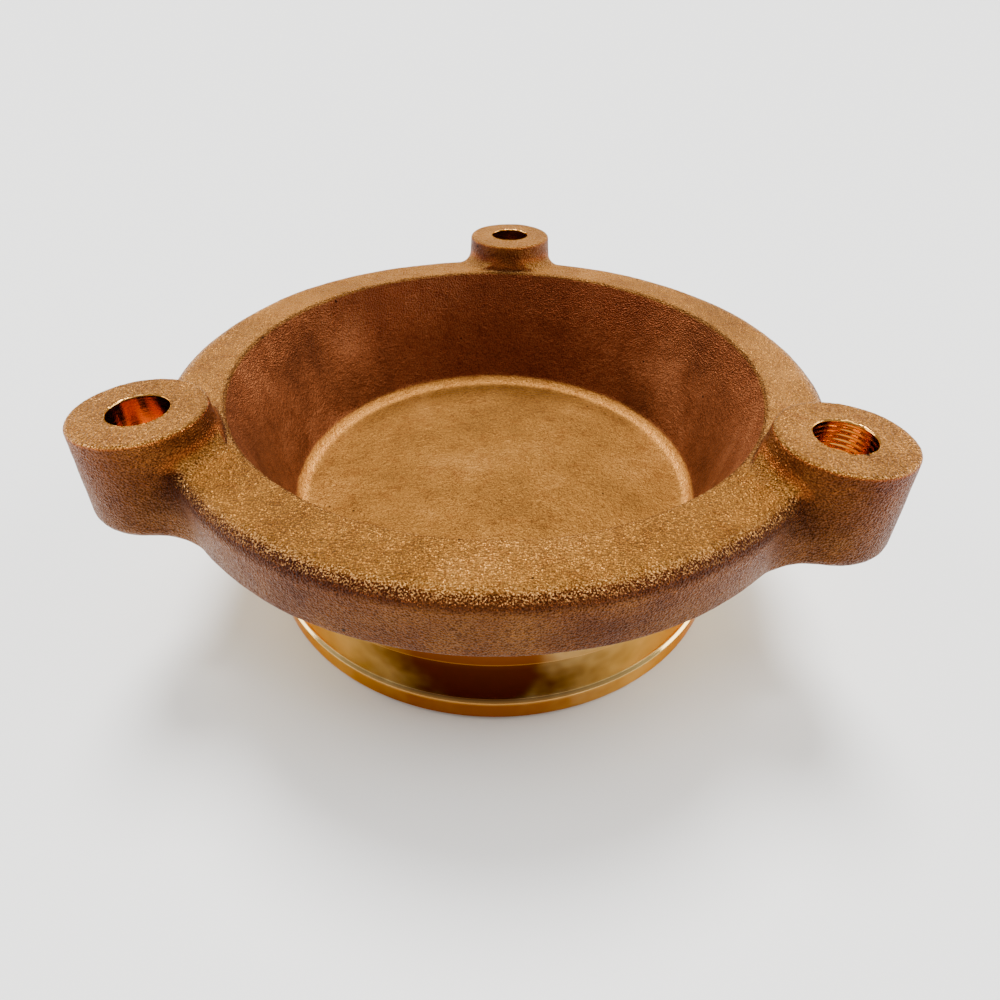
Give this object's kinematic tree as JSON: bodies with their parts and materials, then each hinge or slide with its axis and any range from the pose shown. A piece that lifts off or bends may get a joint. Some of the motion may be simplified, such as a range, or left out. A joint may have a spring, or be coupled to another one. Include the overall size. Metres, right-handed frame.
{
  "type": "three-lug bronze deck fill cap",
  "caption": "Dished sand-cast bronze cap that closes a round deck or tank opening: flange with drilled lugs, turned spigot and a seal ring.",
  "frame": {"origin": "on the cap's axis, at the seat plane under the flange", "axes": "+Z along the axis, up out of the cup; +Y towards one of the three lugs"},
  "size_m": [0.1276, 0.1319, 0.0499],
  "materials": {
    "cast_bronze": "sand-cast skin on the cup, flange and lugs; bright turned spigot and lug bores",
    "nitrile_rubber": "satin black"
  },
  "bodies": {
    "root": {"cap_casting": "cast_bronze", "seal_ring": "nitrile_rubber"}
  },
  "joints": []
}
